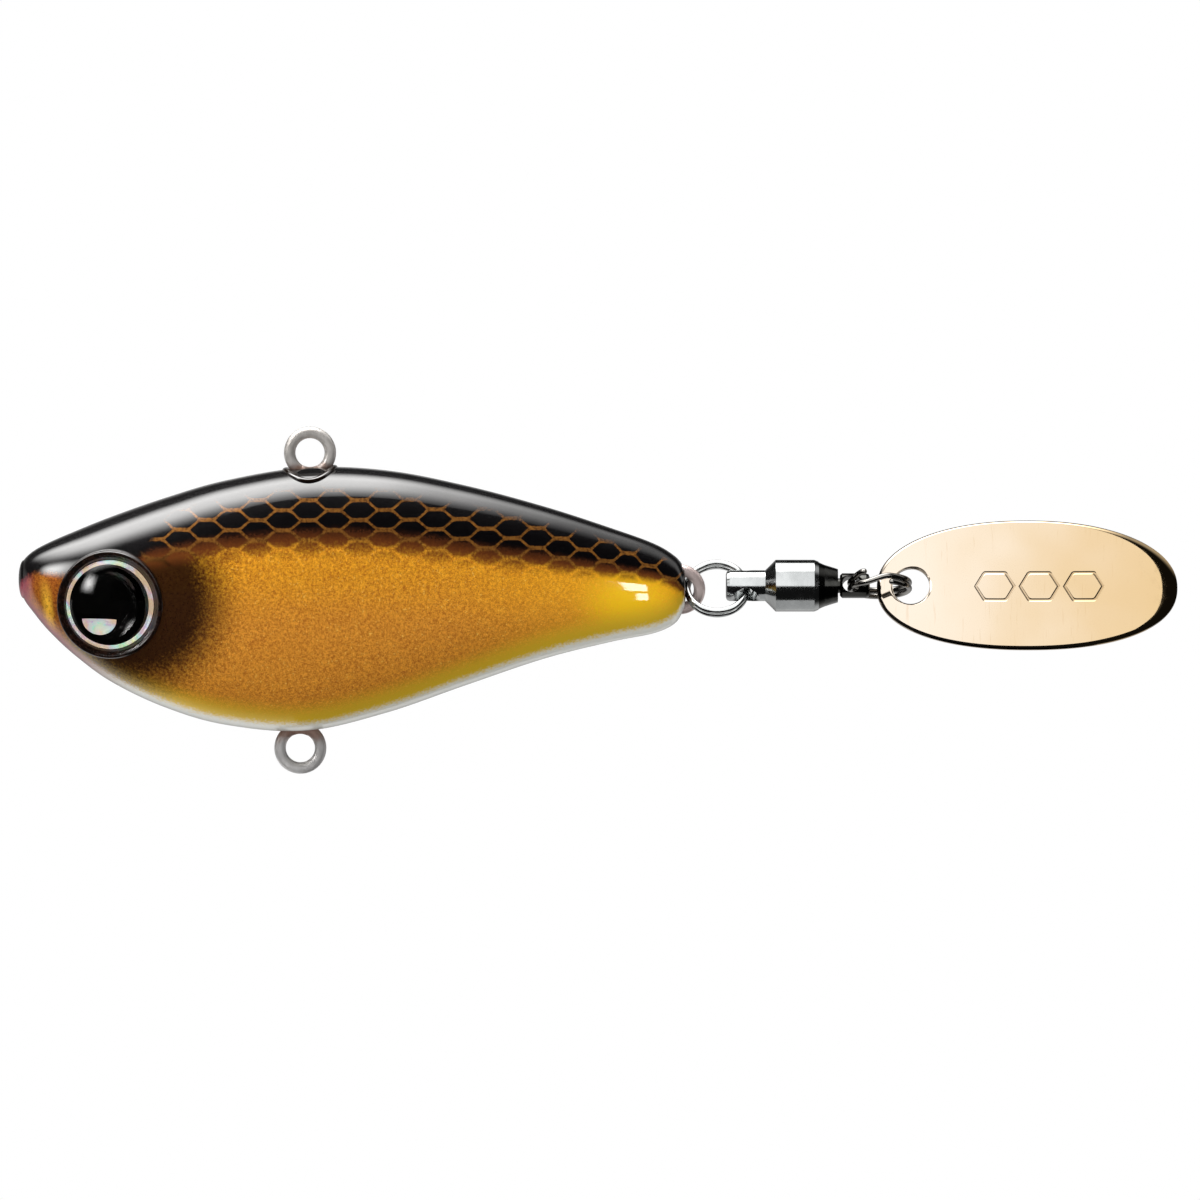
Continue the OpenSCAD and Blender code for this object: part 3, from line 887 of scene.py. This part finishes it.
def studio_light():
    """Soft boxes and dark flags laid round the object as directions of the world."""
    world = bpy.data.worlds.new("studio")
    bpy.context.scene.world = world
    world.use_nodes = True
    g = Graph(world.node_tree)
    parts = g.node("ShaderNodeSeparateXYZ")
    g.put(parts.inputs[0], g.node("ShaderNodeTexCoord").outputs["Generated"])
    x, y, z = parts.outputs
    # Angle round the X axis: 0 is the camera's side, 90 overhead, -90 below
    roll = g.mul(g.math("ARCTAN2", z, g.mul(y, -1.0)), 180 / pi)
    wide = g.mul(g.ramp(x, -0.85, -0.5), g.ramp(x, 0.42, 0.05, 0.1, 1.0))
    overhead = g.mul(g.mul(g.ramp(roll, 60.0, 92.0), g.ramp(roll, 132.0, 104.0)), wide)
    below = g.bell(roll, -128.0, 48.0)
    behind = g.ramp(g.size(roll), 150.0, 178.0)
    flat = g.mul(g.math("ARCTAN2", x, g.mul(y, -1.0)), 180 / pi)
    lift = g.mul(g.math("ARCSINE", z), 180 / pi)
    left = g.mul(g.bell(flat, -62.0, 17.0), g.bell(lift, 27.0, 17.0))
    right = g.mul(g.bell(flat, 17.0, 14.0), g.bell(lift, 21.0, 16.0))
    total = 0.015
    for part, strength in (
        (overhead, 10.5), (below, 1.0), (behind, 0.3), (left, 16.0), (right, 0.9),
    ):  # fmt: skip
        total = g.add(g.mul(part, strength), total)
    background = world.node_tree.nodes["Background"]
    background.inputs["Color"].default_value = (1, 0.99, 0.98, 1)
    g.put(background.inputs["Strength"], total)


def glow_material(name, strength):
    made = bpy.data.materials.new(name)
    made.use_nodes = True
    tree = made.node_tree
    tree.nodes.clear()
    emit = tree.nodes.new("ShaderNodeEmission")
    emit.inputs["Strength"].default_value = strength
    out = tree.nodes.new("ShaderNodeOutputMaterial")
    tree.links.new(emit.outputs[0], out.inputs[0])
    return made


def card(name, xs, ys, zs, strength, lights):
    """A white card, from its low edge to its high one, that only some pieces reflect."""
    (x0, x1), (y0, y1), (z0, z1) = xs, ys, zs
    corners = [(x0, y0, z0), (x1, y0, z0), (x1, y1, z1), (x0, y1, z1)]
    mesh = bpy.data.meshes.new(name)
    mesh.from_pydata([tuple(c * MM for c in p) for p in corners], [], [(0, 1, 2, 3)])
    mesh.materials.append(glow_material(name, strength))
    made = bpy.data.objects.new(name, mesh)
    bpy.context.scene.collection.objects.link(made)
    made.visible_camera = made.visible_diffuse = made.visible_shadow = False
    receivers = bpy.data.collections.new(name)
    for piece in lights:
        receivers.objects.link(bpy.data.objects[piece])
    made.light_linking.receiver_collection = receivers


def backdrop():
    """Pale floor that sweeps up into a pale surround, seen by the camera only."""
    profile = [(0, -60), (300, -60), (520, -40), (640, 40), (700, 200), (640, 700), (0, 1500)]
    points, faces = lathe(profile, 64)
    mesh = bpy.data.meshes.new("backdrop")
    mesh.from_pydata([(p[0] * 0.003, p[1] * 0.003, p[2] * MM) for p in points], [], faces)
    mesh.shade_smooth()
    mesh.materials.append(glow_material("backdrop", 1.0))
    made = bpy.data.objects.new("backdrop", mesh)
    bpy.context.scene.collection.objects.link(made)
    made.visible_diffuse = made.visible_glossy = made.visible_shadow = False
    made.visible_transmission = False


def fill_light(strength):
    """A broad soft fill from the camera's side that lights paint and leaves gloss alone."""
    light = bpy.data.lights.new("fill", "SUN")
    light.energy, light.angle = strength, radians(80)
    made = bpy.data.objects.new("fill", light)
    toward = Vector((0.1, 1.0, 0.18))
    made.rotation_euler = toward.to_track_quat("-Z", "Y").to_euler()
    made.visible_glossy = made.visible_transmission = False
    bpy.context.scene.collection.objects.link(made)


studio_light()
fill_light(2.7)
CHAIN = (
    "front_split_ring_wire", "swivel_body", "swivel_cap", "swivel_shaft",
    "rear_split_ring_wire",
)  # fmt: skip
SKINS = ("left_shell_skin", "right_shell_skin")
card("chain_card", (-30, 86), (-60, -60), (-6, 130), 2.6, CHAIN + ("blade_plate",))
card("chain_floor", (0, 74), (-42, 60), (-90, -90), 0.9, CHAIN)
card("tail_card_high", (39.4, 42.6), (-62, -62), (-15.5, -9), 14, SKINS)
card("tail_card_low", (40.2, 42.6), (-62, -62), (-26.5, -17.5), 14, SKINS)
backdrop()

# ---------------------------------------------------------------- camera

CENTRE, ELEVATION, DISTANCE, WIDTH = Vector((19.55, 0, -9.97)) * MM, 5.0, 0.7, 81.0
camera = bpy.data.cameras.new("camera")
camera.sensor_width = 36
camera.lens = 36 * DISTANCE / (WIDTH * MM)
camera.clip_start, camera.clip_end = 0.01, 20
viewer = bpy.data.objects.new("camera", camera)
back = Vector((0, -cos(radians(ELEVATION)), sin(radians(ELEVATION))))
viewer.location = CENTRE + back * DISTANCE
viewer.rotation_euler = (radians(90 - ELEVATION), 0, 0)
bpy.context.scene.collection.objects.link(viewer)
bpy.context.scene.camera = viewer
bpy.context.scene.view_settings.view_transform = "Standard"
